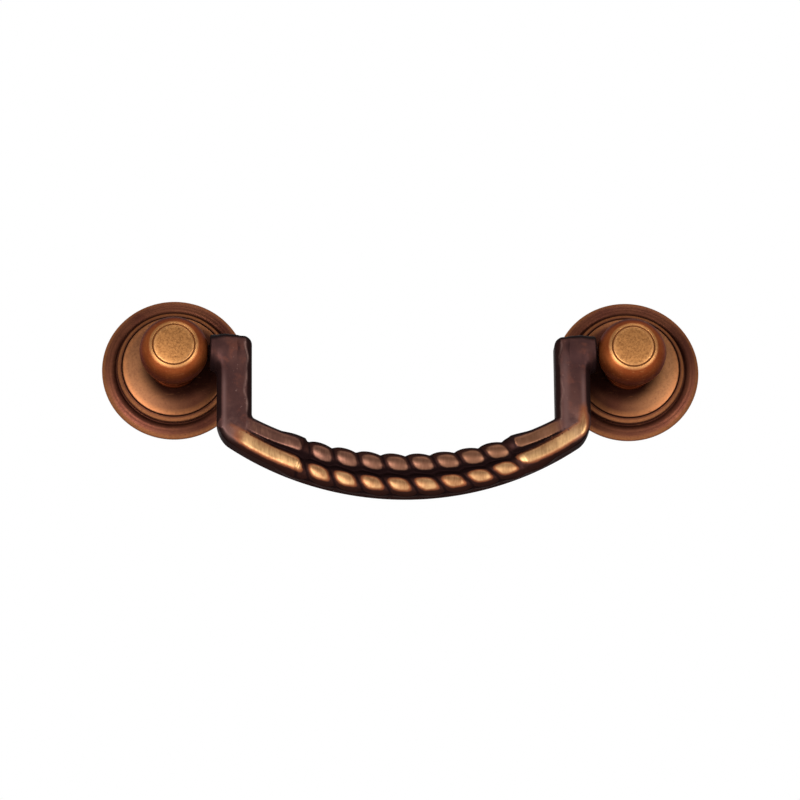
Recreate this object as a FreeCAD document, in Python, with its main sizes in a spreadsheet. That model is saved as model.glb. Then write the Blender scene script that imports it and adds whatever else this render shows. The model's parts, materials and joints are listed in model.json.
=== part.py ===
import FreeCAD, Part
import Sketcher
import math
import os

V = FreeCAD.Vector
os.makedirs("parts", exist_ok=True)
doc = FreeCAD.newDocument("BailPull")

# The pull as mounted on an upright drawer front: X runs along the handle, Z is up and the drawer lies
# on the +Y side. The mounting face is y = 0 and the origin is midway between the two post axes.
# Heights named below are measured out from the mounting face, so a height is -y.

sizes = {
    # whole pull
    "centres": 96,  # distance between the two post axes
    "pivot_height": 12.4,  # swing axis from the mounting face
    "tool_margin": 1,  # cutting tools reach this far past what they cut

    # rosette, from the rim inwards
    "plate_radius": 15.3,  # rosette at its widest
    "plate_back_inset": 0.3,  # the rim draws in by this much towards the drawer
    "rim_foot_height": 0.35,  # upright edge of the rim starts
    "rim_edge_height": 0.95,  # upright edge of the rim ends
    "rim_width": 1.45,  # outer roll of the rim
    "rim_line_height": 2,  # faint line between the two rolls
    "rim_roll_rise": 0.224,  # swell of the outer roll over its chord
    "inner_roll_width": 1.45,  # inner roll
    "inner_roll_rise": 0.301,  # swell of the inner roll over its chord
    "cove_height": 1.75,  # floor of the channel round the step
    "channel_width": 0.3,  # channel between the inner roll and the step
    "step_draft": 0.1,  # the step leans in by this much
    "step_height": 2.8,  # upper edge of the step
    "bevel_width": 0.8,  # bevelled band on the step
    "bevel_rise": 0.8,  # rise of the band
    "line_width": 0.36,  # cut line inside the band
    "line_depth": 0.3,  # depth of the cut line
    "dome_lip": 0.05,  # the dome starts this much above the band
    "dome_curve": 22,  # radius of the dome in section
    "seat_margin": 1.1,  # flat seat round the foot of the post
    "seat_height": 4.4,  # seat of the post from the mounting face
    "hub_wall": 1.9,  # wall of the hub behind the dome
    "shell_wall": 1.9,  # metal over the hollow back
    "shell_inset": 1,  # flat ceiling ends this far inside the band
    "slope_width": 1.8,  # sloped ceiling under the step
    "cove_wall": 1.05,  # metal under the channel
    "rim_wall": 1.4,  # width of the rim at the back

    # post
    "spigot_radius": 3.45,  # spigot through the rosette
    "spigot_clearance": 0.05,  # gap between the spigot and the bore of the hub
    "foot_radius": 5,  # seat of the post inside the foot bead
    "bead_width": 0.96,  # height of the foot bead
    "bead_bulge": 0.32,  # swell of the foot bead
    "bead_step": 0.3,  # the neck starts this far inside the bead
    "neck_pinch": 0.89,  # hollow of the neck under its chord
    "globe_radius": 7.2,  # globe at its widest
    "globe_lead": 1.5,  # widest circle of the globe in front of the swing axis
    "globe_reach": 4.2,  # from the widest circle to either end of the globe
    "globe_end_radius": 4.75,  # globe at either end
    "cap_shoulder": 0.15,  # the ring cut starts this far inside the globe's front end
    "cap_collar": 0.12,  # rise from the globe's front end to the ring cut
    "ring_half": 0.2,  # half width of the ring cut
    "ring_depth": 0.36,  # depth of the ring cut
    "cap_rise": 0.3,  # rise of the cap to its middle
    "thread_core": 1.65,  # radius of the tapping drill
    "thread_depth": 8,  # full depth of the tapped hole from the back
    "pin_hole_past": 1.2,  # pin hole runs past the post axis by this much

    # pivot
    "pin_radius": 1.6,  # pivot pin
    "pin_clearance": 0.05,  # gap between the pin and its hole
    "pin_reach": 5.6,  # pin out of the boss
    "pin_end_break": 0.3,  # bevel round the end of the pin
    "side_gap": 0.3,  # gap between a boss and the globe beside it

    # bail, measured from the swing axis
    "bail_depth": 7,  # bail from front to back
    "arm_width": 7.35,  # width of an arm
    "arm_top": 3.1,  # top of an arm above the swing axis
    "arm_top_round": 1.9,  # rounded corners at the top of an arm
    "boss_length": 1.45,  # boss out of the arm
    "boss_radius": 3.85,  # round boss at the top of the arm
    "boss_round": 0.5,  # rounded rim of the boss
    "boss_rim_slack": 0.02,  # the rim's curve is this much flatter than a quarter circle
    "boss_straight": 2,  # full boss runs this far into the arm
    "boss_fade": 0.4,  # from there the boss thins by this much
    "boss_bury": 4.3,  # and ends this far inside the arm
    "boss_core": 2.8,  # buried core of the boss
    "boss_core_length": 0.8,  # its length
    "grip_top_drop": 22.75,  # upper side of the grip, at its middle, under the axis
    "grip_top_curve": 66.9,  # radius of the upper side
    "grip_height": 8.63,  # grip from its upper to its lower side, at its middle
    "grip_base_curve": 65,  # radius of the lower side
    "elbow_round": 2.5,  # rounding of the outer corner
    "corner_round": 0.35,  # rounding of the inner corner
    "edge_round": 1.7,  # rounding along the front and back edges

    # valley between the two ropes
    "valley_sink": 4.35,  # valley, at its middle, from the upper side of the grip
    "valley_tighter": 1.45,  # its radius is less by this much than the mean of the grip's two sides
    "valley_half": 1.7,  # half width of the valley
    "valley_depth": 1.25,  # depth of the valley
    "valley_floor": 0.15,  # half width of the floor of the valley
    "valley_left_past": 2.4,  # the valley ends this far past the left arm's inner side
    "valley_right_past": 3.3,  # the valley ends this far past the right arm's inner side
    "run_out": 12.5,  # over this length each end of the valley gets shallower and narrower
    "run_out_spare": 0.6,  # the tool goes on by this much past the end of the valley

    # ropes
    "strands": 10,  # strands in each rope, the two end ones half hidden in the plain strands
    "swell": 0.76,  # half length of a strand as a share of the pitch: less makes deeper creases
    "front_gap": 0.08,  # strands stay behind the plain front face
    "bed_inset": 0.7,  # beds end this much before the middle of the end strands, in degrees
    "bed_margin": 2,  # beds start this far outside the grip
    "bed_overlap": 0.3,  # the lower bed starts this far inside the upper bed
    "upper_margin": 8.52,  # upper rope: middle of its end strands, on average, from the arms
    "upper_slant": 25,  # upper rope: slant of the creases, in degrees
    "upper_lead": 0.83,  # upper rope: lead of its middle to the right, in degrees
    "upper_sink": 2.05,  # upper rope: core from the upper side of the grip
    "upper_height": 2.4,  # upper rope: half its height
    "upper_bed_depth": 3.9,  # upper rope: depth of its bed
    "lower_margin": 7.08,  # lower rope: middle of its end strands, on average, from the arms
    "lower_slant": 34.6,  # lower rope: slant of the creases, in degrees
    "lower_lead": 1.35,  # lower rope: lead of its middle to the right, in degrees
    "lower_sink": 2.1,  # lower rope: core from the lower side of the grip
    "lower_height": 2.45,  # lower rope: half its height
    "lower_bed_depth": 2.4,  # lower rope: depth of its bed
    "web_half": 1.1,  # bridge between the two ropes: half its width
    "web_sink": 0.5,  # the bridge starts under the floor of the deeper bed
    "web_depth": 1.5,  # front of the bridge behind the front face
}

derived = {
    "half_centres": "centres / 2",

    # rosette
    "plate_back_radius": "plate_radius - plate_back_inset",
    "rim_line_radius": "plate_radius - rim_width",
    "rim_roll_half": "sqrt(rim_width^2 + (rim_line_height - rim_edge_height)^2) / 2",
    "rim_roll": "(rim_roll_half^2 + rim_roll_rise^2) / (2 * rim_roll_rise)",
    "cove_radius": "rim_line_radius - inner_roll_width",
    "inner_roll_half": "sqrt(inner_roll_width^2 + (rim_line_height - cove_height)^2) / 2",
    "inner_roll": "(inner_roll_half^2 + inner_roll_rise^2) / (2 * inner_roll_rise)",
    "step_foot_radius": "cove_radius - channel_width",
    "step_radius": "step_foot_radius - step_draft",
    "bevel_radius": "step_radius - bevel_width",
    "bevel_height": "step_height + bevel_rise",
    "line_radius": "bevel_radius - line_width / 2",
    "line_height": "bevel_height - line_depth",
    "dome_radius": "bevel_radius - line_width",
    "dome_height": "bevel_height + dome_lip",
    "seat_radius": "foot_radius + seat_margin",
    "hub_bore": "spigot_radius + spigot_clearance",
    "hub_radius": "hub_bore + hub_wall",
    "shell_inner_height": "seat_height - shell_wall",
    "shell_inner_radius": "bevel_radius - shell_inset",
    "flange_inner_radius": "shell_inner_radius + slope_width",
    "flange_inner_height": "cove_height - cove_wall",
    "rim_inner_radius": "plate_radius - rim_wall",

    # post
    "bead_top": "seat_height + bead_width",
    "bead_curve": "((bead_width / 2)^2 + bead_bulge^2) / (2 * bead_bulge)",
    "neck_start_radius": "foot_radius - bead_step",
    "globe_height": "pivot_height + globe_lead",
    "globe_start": "globe_height - globe_reach",
    "globe_front": "globe_height + globe_reach",
    "globe_drop": "globe_radius - globe_end_radius",
    "globe_curve": "(globe_drop^2 + globe_reach^2) / (2 * globe_drop)",
    "neck_half": "sqrt((globe_start - bead_top)^2 + (globe_end_radius - neck_start_radius)^2) / 2",
    "neck_curve": "(neck_half^2 + neck_pinch^2) / (2 * neck_pinch)",
    "cap_rim_radius": "globe_end_radius - cap_shoulder",
    "cap_rim_height": "globe_front + cap_collar",
    "cap_ring_radius": "cap_rim_radius - ring_half",
    "cap_ring_floor": "cap_rim_height - ring_depth",
    "cap_edge_radius": "cap_ring_radius - ring_half",
    "cap_top": "cap_rim_height + cap_rise",
    "cap_curve": "(cap_edge_radius^2 + cap_rise^2) / (2 * cap_rise)",

    # pivot and bail
    "pin_hole_radius": "pin_radius + pin_clearance",
    "front_height": "pivot_height + bail_depth / 2",
    "boss_end": "half_centres - globe_radius - side_gap",
    "arm_outer": "boss_end - boss_length",
    "arm_inner": "arm_outer - arm_width",
    "boss_rim": "boss_end - boss_round",
    "boss_rim_curve": "boss_round + boss_rim_slack",
    "boss_face_radius": "boss_radius - boss_round",
    "boss_full": "arm_outer - boss_straight",
    "boss_thin": "arm_outer - boss_bury",
    "boss_thin_radius": "boss_radius - boss_fade",
    "boss_start": "boss_thin - boss_core_length",
    "pin_end": "boss_end + pin_reach",
    "pin_end_start": "pin_end - pin_end_break",
    "pin_end_radius": "pin_radius - pin_end_break",
    "grip_top_centre": "grip_top_curve - grip_top_drop",
    "grip_base_drop": "grip_top_drop + grip_height",
    "grip_base_centre": "grip_base_curve - grip_base_drop",
    "corner_drop": "sqrt(grip_top_curve^2 - arm_inner^2) - grip_top_centre",
    "elbow_drop": "sqrt(grip_base_curve^2 - arm_outer^2) - grip_base_centre",

    # valley
    "valley_drop": "grip_top_drop + valley_sink",
    "valley_curve": "(grip_top_curve + grip_base_curve) / 2 - valley_tighter",
    "valley_centre": "valley_curve - valley_drop",
    "valley_shoulder": "((valley_half - valley_floor)^2 + valley_depth^2) / (2 * valley_depth)",
    "run_out_turn": "run_out / valley_curve / pi * 180",
    "run_out_tilt": "asin(valley_depth / valley_curve / sin(run_out_turn * 1deg)) / 1deg",
    "run_out_whole": "(run_out + run_out_spare) / valley_curve / pi * 180",
    "valley_left_turn": "asin((arm_inner + valley_left_past) / valley_curve) / 1deg - run_out_turn",
    "valley_right_turn": "asin((arm_inner + valley_right_past) / valley_curve) / 1deg - run_out_turn",
    "valley_bottom": "front_height - valley_depth",
    "valley_high": "valley_drop - valley_half",
    "valley_low": "valley_drop + valley_half",
    "valley_floor_high": "valley_drop - valley_floor",
    "valley_floor_low": "valley_drop + valley_floor",
    "carving_clear": "front_height + tool_margin",
    "run_out_clear": "valley_depth + tool_margin",
    "run_out_high": "valley_curve - valley_half",
    "run_out_low": "valley_curve + valley_half",
    "run_out_floor_high": "valley_curve - valley_floor",
    "run_out_floor_low": "valley_curve + valley_floor",

    # ropes
    "bed_top": "grip_top_drop - bed_margin",
    "bed_base": "grip_base_drop + bed_margin",
    "bed_border": "valley_drop - bed_overlap",
    "upper_bed_floor": "front_height - upper_bed_depth",
    "lower_bed_floor": "front_height - lower_bed_depth",
    "upper_centre": "grip_top_centre",
    "lower_centre": "grip_base_centre",
    "upper_core": "grip_top_curve + upper_sink",
    "lower_core": "grip_base_curve - lower_sink",
    "web_high": "valley_drop - web_half",
    "web_low": "valley_drop + web_half",
    "web_bottom": "upper_bed_floor - web_sink",
    "web_front": "front_height - web_depth",
}

# Seen from the front a strand is an ellipse sheared along the rope, so that the creases lean while the
# rope runs straight on. A sheared ellipse is again an ellipse: its long and short half axes and its turn
# follow from the three terms of the shear. Turned about its long axis it gives the round strand.
strand_formulas = {
    "half_turn": "asin((arm_inner - ROPE_margin) / ROPE_core) / 1deg",
    "pitch": "2 * ROPE_half_turn / (strands - 1)",
    "left_turn": "ROPE_half_turn - ROPE_lead",
    "right_turn": "ROPE_half_turn + ROPE_lead",
    "half": "swell * ROPE_core * ROPE_pitch * pi / 180",
    "lean": "tan(ROPE_slant * 1deg)",
    "term_one": "1 / ROPE_half^2",
    "term_two": "ROPE_lean * ROPE_term_one",
    "term_three": "ROPE_lean * ROPE_term_two + 1 / ROPE_height^2",
    "mean": "(ROPE_term_one + ROPE_term_three) / 2",
    "spread": "sqrt((ROPE_term_three - ROPE_mean)^2 + ROPE_term_two^2)",
    "long": "1 / sqrt(ROPE_mean - ROPE_spread)",
    "short": "1 / sqrt(ROPE_mean + ROPE_spread)",
    "swing": "asin(ROPE_term_two / ROPE_spread) / 2 / 1deg",
    "across": "-ROPE_core * sin(ROPE_left_turn * 1deg)",
    "up": "ROPE_centre - ROPE_core * cos(ROPE_left_turn * 1deg)",
    "out": "front_height - front_gap - ROPE_short",
    "tilt": "-ROPE_left_turn - ROPE_swing",
}
for rope in ("upper", "lower"):
    for name, content in strand_formulas.items():
        derived[rope + "_" + name] = content.replace("ROPE", rope)

sheet = doc.addObject("Spreadsheet::Sheet", "Sizes")
contents = {name: str(value) for name, value in sizes.items()}
contents.update({name: "=" + content for name, content in derived.items()})
for line, (name, content) in enumerate(contents.items(), 1):
    sheet.set("A%d" % line, name)
    sheet.set("B%d" % line, content)
    sheet.setAlias("B%d" % line, name)
doc.recompute()


def number(name):
    """The value of one size, with the sign that stands before its name."""
    if name.startswith("-"):
        return -number(name[1:])
    return float(sheet.get(name))


def formula(name):
    """The same size written as an expression."""
    if name.startswith("-"):
        return "-(%s)" % formula(name[1:])
    return "Sizes.%s" % name


def plane(body, role):
    """One of the body's own base planes."""
    for item in body.Origin.OriginFeatures:
        if item.Role == role:
            return item
    raise RuntimeError(role)


def new_body(name):
    body = doc.addObject("PartDesign::Body", name)
    body.Label = name
    return body


def new_sketch(body, name, role, offset_x=None, offset_y=None, offset_z=None, turn=None):
    """A sketch on a base plane of the body, moved in that plane's own directions by expressions."""
    sketch = body.newObject("Sketcher::SketchObject", name)
    sketch.AttachmentSupport = (plane(body, role), [""])
    sketch.MapMode = "FlatFace"
    if turn:
        sketch.AttachmentOffset = FreeCAD.Placement(V(0, 0, 0), FreeCAD.Rotation(V(0, 0, 1), 10))
        sketch.setExpression("AttachmentOffset.Rotation.Angle", turn)
    if offset_x:
        sketch.setExpression("AttachmentOffset.Base.x", offset_x)
    if offset_y:
        sketch.setExpression("AttachmentOffset.Base.y", offset_y)
    if offset_z:
        sketch.setExpression("AttachmentOffset.Base.z", offset_z)
    return sketch


def tilted_sketch(body, name, offset_x, offset_y, swing, tilt):
    """A sketch on the body's YZ plane, moved, swung about its first axis, then tilted about its second."""
    base = body.newObject("PartDesign::Plane", name + "_plane")
    base.AttachmentSupport = [(plane(body, "YZ_Plane"), "")]
    base.MapMode = "FlatFace"
    base.AttachmentOffset = FreeCAD.Placement(V(0, 0, 0), FreeCAD.Rotation(V(1, 0, 0), 10))
    base.setExpression("AttachmentOffset.Rotation.Angle", swing)
    base.setExpression("AttachmentOffset.Base.x", offset_x)
    base.setExpression("AttachmentOffset.Base.y", offset_y)
    sketch = body.newObject("Sketcher::SketchObject", name)
    sketch.AttachmentSupport = (base, [""])
    sketch.MapMode = "FlatFace"
    sketch.AttachmentOffset = FreeCAD.Placement(V(0, 0, 0), FreeCAD.Rotation(V(0, 1, 0), 10))
    sketch.setExpression("AttachmentOffset.Rotation.Angle", tilt)
    return sketch


def bind(sketch, index, expression):
    sketch.setExpression("Constraints[%d]" % index, expression)


def pin_point(sketch, geometry, end, across, along):
    """Fix one point of a sketch at the sizes named across and along."""
    for kind, axis, name in (("DistanceX", -2, across), ("DistanceY", -1, along)):
        if name is None:
            sketch.addConstraint(Sketcher.Constraint("PointOnObject", geometry, end, axis))
            continue
        value = number(name)
        if value > 0:
            at = sketch.addConstraint(Sketcher.Constraint(kind, -1, 1, geometry, end, value))
            bind(sketch, at, formula(name))
        else:
            at = sketch.addConstraint(Sketcher.Constraint(kind, geometry, end, -1, 1, -value))
            bind(sketch, at, formula("-" + name))


def short_arc(start, finish, radius, bulge):
    """The shorter arc from start to finish; bulge +1 leaves it to the left of that line."""
    along = finish - start
    half = along.Length / 2
    inward = V(along.y, -along.x, 0).normalize() * bulge
    centre = (start + finish) * 0.5 + inward * math.sqrt(radius ** 2 - half ** 2)
    first, last = (start, finish) if bulge < 0 else (finish, start)
    begin = math.atan2(first.y - centre.y, first.x - centre.x)
    end = math.atan2(last.y - centre.y, last.x - centre.x)
    if end < begin:
        end += 2 * math.pi
    return Part.ArcOfCircle(Part.Circle(centre, V(0, 0, 1), radius), begin, end)


def outline(sketch, corners, arcs=None):
    """A closed outline: corners are pairs of sizes, arcs a radius and a side for the line after a corner."""
    arcs = arcs or {}
    points = [V(number(a) if a else 0, number(b) if b else 0, 0) for a, b in corners]
    count = len(points)
    first = sketch.GeometryCount
    ends = []
    for i in range(count):
        start = points[i]
        finish = points[(i + 1) % count]
        if i in arcs:
            radius, bulge = arcs[i]
            at = sketch.addGeometry(short_arc(start, finish, number(radius), bulge), False)
            ends.append((at, 1, 2) if bulge < 0 else (at, 2, 1))
        else:
            at = sketch.addGeometry(Part.LineSegment(start, finish), False)
            ends.append((at, 1, 2))
    for i in range(count):
        at, begin, end = ends[i]
        after = ends[(i + 1) % count]
        sketch.addConstraint(Sketcher.Constraint("Coincident", at, end, after[0], after[1]))
    for i in range(count):
        pin_point(sketch, ends[i][0], ends[i][1], corners[i][0], corners[i][1])
    for i, (radius, bulge) in sorted(arcs.items()):
        at = sketch.addConstraint(Sketcher.Constraint("Radius", ends[i][0], number(radius)))
        bind(sketch, at, formula(radius))
    return first


def disc(sketch, radius, across=None, along=None):
    """A circle of a named radius at the sizes named across and along."""
    centre = V(number(across) if across else 0, number(along) if along else 0, 0)
    at = sketch.addGeometry(Part.Circle(centre, V(0, 0, 1), number(radius)), False)
    if across is None and along is None:
        sketch.addConstraint(Sketcher.Constraint("Coincident", at, 3, -1, 1))
    else:
        pin_point(sketch, at, 3, across, along)
    size = sketch.addConstraint(Sketcher.Constraint("Radius", at, number(radius)))
    bind(sketch, size, formula(radius))


def volume_after(feature, before, grows):
    """Recompute and make sure that a feature adds or takes material as it should."""
    doc.recompute()
    if "Invalid" in feature.State or "Error" in feature.State or feature.Shape.isNull():
        raise RuntimeError(feature.Name + " failed: " + feature.getStatusString())
    change = feature.Shape.Volume - before
    if (change > 1e-4) != grows or abs(change) < 1e-4:
        raise RuntimeError("%s changes the volume by %.3f" % (feature.Name, change))
    return feature.Shape.Volume


def edges_where(shape, test):
    """Names of the edges whose middle point passes a test."""
    found = []
    for i, edge in enumerate(shape.Edges):
        middle = edge.valueAt((edge.FirstParameter + edge.LastParameter) / 2)
        if test(edge, middle):
            found.append("Edge%d" % (i + 1))
    return found


def half_ellipse(sketch, long_half, short_half):
    """The upper half of an ellipse about the sketch's own axis, closed by its long axis."""
    a = number(long_half)
    b = number(short_half)
    arc = sketch.addGeometry(Part.ArcOfEllipse(Part.Ellipse(V(0, 0, 0), a, b), 0, math.pi), False)
    line = sketch.addGeometry(Part.LineSegment(V(-a, 0, 0), V(a, 0, 0)), False)
    sketch.addConstraint(Sketcher.Constraint("Coincident", arc, 3, -1, 1))
    sketch.addConstraint(Sketcher.Constraint("Coincident", arc, 2, line, 1))
    sketch.addConstraint(Sketcher.Constraint("Coincident", arc, 1, line, 2))
    sketch.addConstraint(Sketcher.Constraint("PointOnObject", line, 2, -1))
    sketch.addConstraint(Sketcher.Constraint("PointOnObject", line, 1, -1))
    at = sketch.addConstraint(Sketcher.Constraint("DistanceX", -1, 1, line, 2, a))
    bind(sketch, at, formula(long_half))
    first = sketch.GeometryCount
    sketch.exposeInternalGeometry(arc)
    for i in range(first, sketch.GeometryCount):
        inner = sketch.Geometry[i]
        if hasattr(inner, "StartPoint") and abs(inner.StartPoint.x) < 1e-6:
            at = sketch.addConstraint(Sketcher.Constraint("Distance", i, 2 * b))
            bind(sketch, at, "2 * " + formula(short_half))


def turn_about(body, name, section, axis):
    """A closed half section turned all the way round an axis of its own sketch."""
    doc.recompute()
    turned = body.newObject("PartDesign::Revolution", name)
    turned.Profile = section
    turned.ReferenceAxis = (section, [axis])
    turned.Angle = 360
    return turned


def arc_axis(sketch, centre):
    """A construction line across the grip through the centre of one of its arcs; returns its axis name."""
    length = number("front_height")
    at = sketch.addGeometry(Part.LineSegment(V(0, number(centre), 0), V(-length, number(centre), 0)), True)
    sketch.addConstraint(Sketcher.Constraint("Horizontal", at))
    sketch.addConstraint(Sketcher.Constraint("PointOnObject", at, 1, -2))
    high = sketch.addConstraint(Sketcher.Constraint("DistanceY", -1, 1, at, 1, number(centre)))
    bind(sketch, high, formula(centre))
    size = sketch.addConstraint(Sketcher.Constraint("DistanceX", at, 2, at, 1, length))
    bind(sketch, size, formula("front_height"))
    return "Axis0"


def build_rosette(name, side):
    """A hollow-backed stepped backplate: one closed half section turned round the post axis."""
    body = new_body(name)
    section = new_sketch(body, name + "_section", "XY_Plane", offset_x=side + "Sizes.half_centres")
    outline(section, [
        ("rim_inner_radius", None),
        ("plate_back_radius", None),
        ("plate_radius", "-rim_foot_height"),
        ("plate_radius", "-rim_edge_height"),
        ("rim_line_radius", "-rim_line_height"),
        ("cove_radius", "-cove_height"),
        ("step_foot_radius", "-cove_height"),
        ("step_radius", "-step_height"),
        ("bevel_radius", "-bevel_height"),
        ("line_radius", "-line_height"),
        ("dome_radius", "-dome_height"),
        ("seat_radius", "-seat_height"),
        ("hub_bore", "-seat_height"),
        ("hub_bore", None),
        ("hub_radius", None),
        ("hub_radius", "-shell_inner_height"),
        ("shell_inner_radius", "-shell_inner_height"),
        ("flange_inner_radius", "-flange_inner_height"),
        ("rim_inner_radius", "-flange_inner_height"),
    ], {3: ("rim_roll", 1), 4: ("inner_roll", 1), 10: ("dome_curve", 1)})
    turned = turn_about(body, name + "_turned", section, "V_Axis")
    volume_after(turned, 0, True)
    return body


def build_post(name, side, flipped):
    """A turned post with a globe head, drilled crosswise for the pin and tapped from the back."""
    body = new_body(name)
    section = new_sketch(body, name + "_section", "XY_Plane", offset_x=side + "Sizes.half_centres")
    outline(section, [
        (None, None),
        ("spigot_radius", None),
        ("spigot_radius", "-seat_height"),
        ("foot_radius", "-seat_height"),
        ("foot_radius", "-bead_top"),
        ("neck_start_radius", "-bead_top"),
        ("globe_end_radius", "-globe_start"),
        ("globe_end_radius", "-globe_front"),
        ("cap_rim_radius", "-cap_rim_height"),
        ("cap_ring_radius", "-cap_ring_floor"),
        ("cap_edge_radius", "-cap_rim_height"),
        (None, "-cap_top"),
    ], {3: ("bead_curve", 1), 5: ("neck_curve", -1), 6: ("globe_curve", 1), 10: ("cap_curve", 1)})
    turned = turn_about(body, name + "_turned", section, "V_Axis")
    volume = volume_after(turned, 0, True)

    cross = new_sketch(body, name + "_pin_circle", "YZ_Plane",
                       offset_z="%s(Sizes.half_centres + Sizes.pin_hole_past)" % side)
    disc(cross, "pin_hole_radius", "-pivot_height", None)
    drilled = body.newObject("PartDesign::Pocket", name + "_pin_hole")
    drilled.Profile = cross
    drilled.setExpression("Length", "Sizes.globe_radius + Sizes.pin_hole_past + Sizes.tool_margin")
    drilled.Reversed = flipped
    volume = volume_after(drilled, volume, False)
    mouth = V(number(side + "boss_end"), -number("pivot_height"), 0)
    if body.Shape.distToShape(Part.Vertex(mouth))[0] < number("pin_radius"):
        raise RuntimeError(name + ": the pin hole opens on the wrong side")

    back = new_sketch(body, name + "_thread_circle", "XZ_Plane", offset_x=side + "Sizes.half_centres")
    disc(back, "thread_core")
    tapped = body.newObject("PartDesign::Hole", name + "_thread")
    tapped.Profile = back
    doc.recompute()
    tapped.Threaded = True
    tapped.ThreadType = "ISOMetricProfile"
    tapped.ThreadSize = "M4x0.7"
    tapped.ModelThread = False
    tapped.DepthType = "Dimension"
    tapped.setExpression("Depth", "Sizes.thread_depth")
    tapped.DrillPoint = "Angled"
    tapped.DrillPointAngle = 118
    doc.recompute()
    if abs(tapped.Shape.Volume - volume) < 1e-4:
        tapped.Reversed = True
    volume_after(tapped, volume, False)
    return body


def build_bail():
    """The handle in one piece: padded blank, rounded edges, bosses and pins, then the rope carving."""
    body = new_body("bail")
    face = new_sketch(body, "bail_outline", "XZ_Plane", offset_z="Sizes.pivot_height")
    outline(face, [
        ("-arm_outer", "arm_top"),
        ("-arm_outer", "-elbow_drop"),
        ("arm_outer", "-elbow_drop"),
        ("arm_outer", "arm_top"),
        ("arm_inner", "arm_top"),
        ("arm_inner", "-corner_drop"),
        ("-arm_inner", "-corner_drop"),
        ("-arm_inner", "arm_top"),
    ], {1: ("grip_base_curve", -1), 5: ("grip_top_curve", 1)})
    blank = body.newObject("PartDesign::Pad", "bail_blank")
    blank.Profile = face
    blank.setExpression("Length", "Sizes.bail_depth")
    blank.Midplane = True
    volume = volume_after(blank, 0, True)

    # corners in the front view
    for name, size, low, high, outer in (
        ("elbows", "elbow_round", -100, -12, True),
        ("inner_corners", "corner_round", -100, -5, False),
        ("arm_tops", "arm_top_round", 0, 100, None),
    ):
        last = body.Tip

        def at_corner(edge, middle):
            upright = len(edge.Vertexes) == 2 and abs(edge.Vertexes[0].Y - edge.Vertexes[1].Y) > 1
            wide = abs(middle.x) > (number("arm_inner") + number("arm_outer")) / 2
            return upright and low < middle.z < high and (outer is None or wide == outer)

        rounded = body.newObject("PartDesign::Fillet", name)
        rounded.Base = (last, edges_where(last.Shape, at_corner))
        rounded.setExpression("Radius", "Sizes." + size)
        doc.recompute()
        volume = volume_after(rounded, volume, name == "inner_corners")

    # long edges of the front and back
    last = body.Tip
    front = -number("front_height")
    rear = front + number("bail_depth")
    rounded = body.newObject("PartDesign::Fillet", "long_edges")
    rounded.Base = (last, edges_where(
        last.Shape, lambda edge, middle: min(abs(middle.y - front), abs(middle.y - rear)) < 1e-4))
    rounded.setExpression("Radius", "Sizes.edge_round")
    volume = volume_after(rounded, volume, False)

    # the right boss with its pin, turned in one about the swing axis, then mirrored to the left
    section = new_sketch(body, "boss_section", "XZ_Plane", offset_z="Sizes.pivot_height")
    outline(section, [
        ("boss_start", None),
        ("boss_start", "boss_core"),
        ("boss_thin", "boss_thin_radius"),
        ("boss_full", "boss_radius"),
        ("boss_rim", "boss_radius"),
        ("boss_end", "boss_face_radius"),
        ("boss_end", "pin_radius"),
        ("pin_end_start", "pin_radius"),
        ("pin_end", "pin_end_radius"),
        ("pin_end", None),
    ], {4: ("boss_rim_curve", 1)})
    boss = turn_about(body, "boss_and_pin", section, "H_Axis")
    volume = volume_after(boss, volume, True)
    other = body.newObject("PartDesign::Mirrored", "left_boss_and_pin")
    other.Originals = [boss]
    other.MirrorPlane = (plane(body, "YZ_Plane"), [""])
    body.Tip = other
    volume = volume_after(other, volume, True)

    # the valley that parts the plain strands, cut about the centre of its own arc
    section = new_sketch(body, "valley_section", "YZ_Plane")
    outline(section, [
        ("-carving_clear", "-valley_high"),
        ("-front_height", "-valley_high"),
        ("-valley_bottom", "-valley_floor_high"),
        ("-valley_bottom", "-valley_floor_low"),
        ("-front_height", "-valley_low"),
        ("-carving_clear", "-valley_low"),
    ], {1: ("valley_shoulder", -1), 3: ("valley_shoulder", -1)})
    valley = body.newObject("PartDesign::Groove", "valley")
    valley.Profile = section
    valley.ReferenceAxis = (section, [arc_axis(section, "valley_centre")])
    valley.Type = "TwoAngles"
    valley.setExpression("Angle", "Sizes.valley_right_turn")
    valley.setExpression("Angle2", "Sizes.valley_left_turn")
    volume = volume_after(valley, volume, False)

    # At both ends the same tool goes on about a tilted axis, so it keeps to the arc while it rises out
    # of the metal: the valley gets shallower and narrower and ends in a point.
    for side, sign, flipped in (("left", "", False), ("right", "-", True)):
        section = tilted_sketch(body, "run_out_%s_section" % side, "-Sizes.valley_bottom",
                                "Sizes.valley_centre", "%sSizes.valley_%s_turn" % (sign, side),
                                "%sSizes.run_out_tilt" % sign)
        outline(section, [
            ("-run_out_clear", "-run_out_high"),
            ("-valley_depth", "-run_out_high"),
            (None, "-run_out_floor_high"),
            (None, "-run_out_floor_low"),
            ("-valley_depth", "-run_out_low"),
            ("-run_out_clear", "-run_out_low"),
        ], {1: ("valley_shoulder", -1), 3: ("valley_shoulder", -1)})
        run_out = body.newObject("PartDesign::Groove", "run_out_" + side)
        run_out.Profile = section
        run_out.ReferenceAxis = (section, ["H_Axis"])
        run_out.Reversed = flipped
        run_out.setExpression("Angle", "Sizes.run_out_whole")
        volume = volume_after(run_out, volume, False)

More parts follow.
